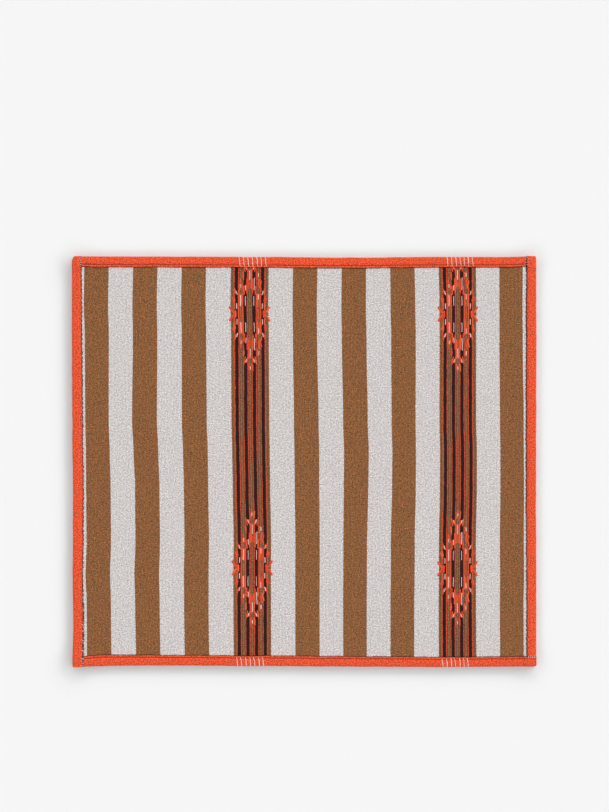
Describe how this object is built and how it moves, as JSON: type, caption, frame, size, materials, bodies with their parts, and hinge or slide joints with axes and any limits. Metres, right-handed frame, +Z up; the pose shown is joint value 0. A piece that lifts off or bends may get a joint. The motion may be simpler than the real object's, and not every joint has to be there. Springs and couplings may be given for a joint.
{
  "type": "basotho blanket",
  "caption": "Flat-laid striped wool blanket with lozenge pattern bands and orange hems turned up on all sides.",
  "frame": {"origin": "middle of the outline, on the underside that rests on the floor", "axes": "+X across the stripes, along the longer side; +Y along the stripes; +Z up, out of the face"},
  "size_m": [1.002, 0.886, 0.01],
  "materials": {
    "cloth": "thick woven wool, matt, ivory and brown stripes on the face and orange on the reverse",
    "pattern_yarn": "soft wool yarn, orange and ivory, matt",
    "sewing_thread": "sewing thread, orange and white, matt"
  },
  "bodies": {
    "root": {"blanket": "cloth"}
  },
  "joints": []
}
